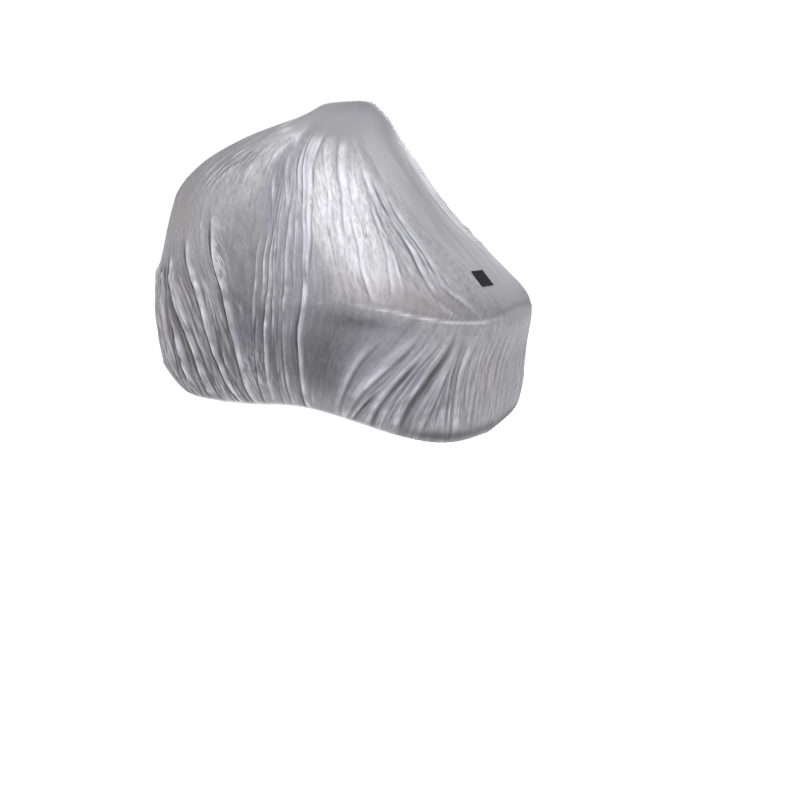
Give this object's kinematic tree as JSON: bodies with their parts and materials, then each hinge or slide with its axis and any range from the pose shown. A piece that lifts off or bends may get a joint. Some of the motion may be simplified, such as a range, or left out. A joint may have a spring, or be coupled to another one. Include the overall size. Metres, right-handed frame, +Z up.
{
  "type": "stroller sun net",
  "caption": "Hollow cover of fine silver-grey mesh with an elastic hem, as it hangs over a carrycot and its raised hood.",
  "frame": {"origin": "the cloth's inner face at its highest point, where the hood's top holds it up", "axes": "+X towards the foot end, +Y across to the far side, +Z up"},
  "size_m": [0.9317, 0.4515, 0.6213],
  "materials": {
    "net": "fine silver-grey polyester mesh with a satin sheen, slightly see-through",
    "label": "black woven ribbon, bare"
  },
  "bodies": {
    "root": {"net": "net", "label": "label"}
  },
  "joints": []
}
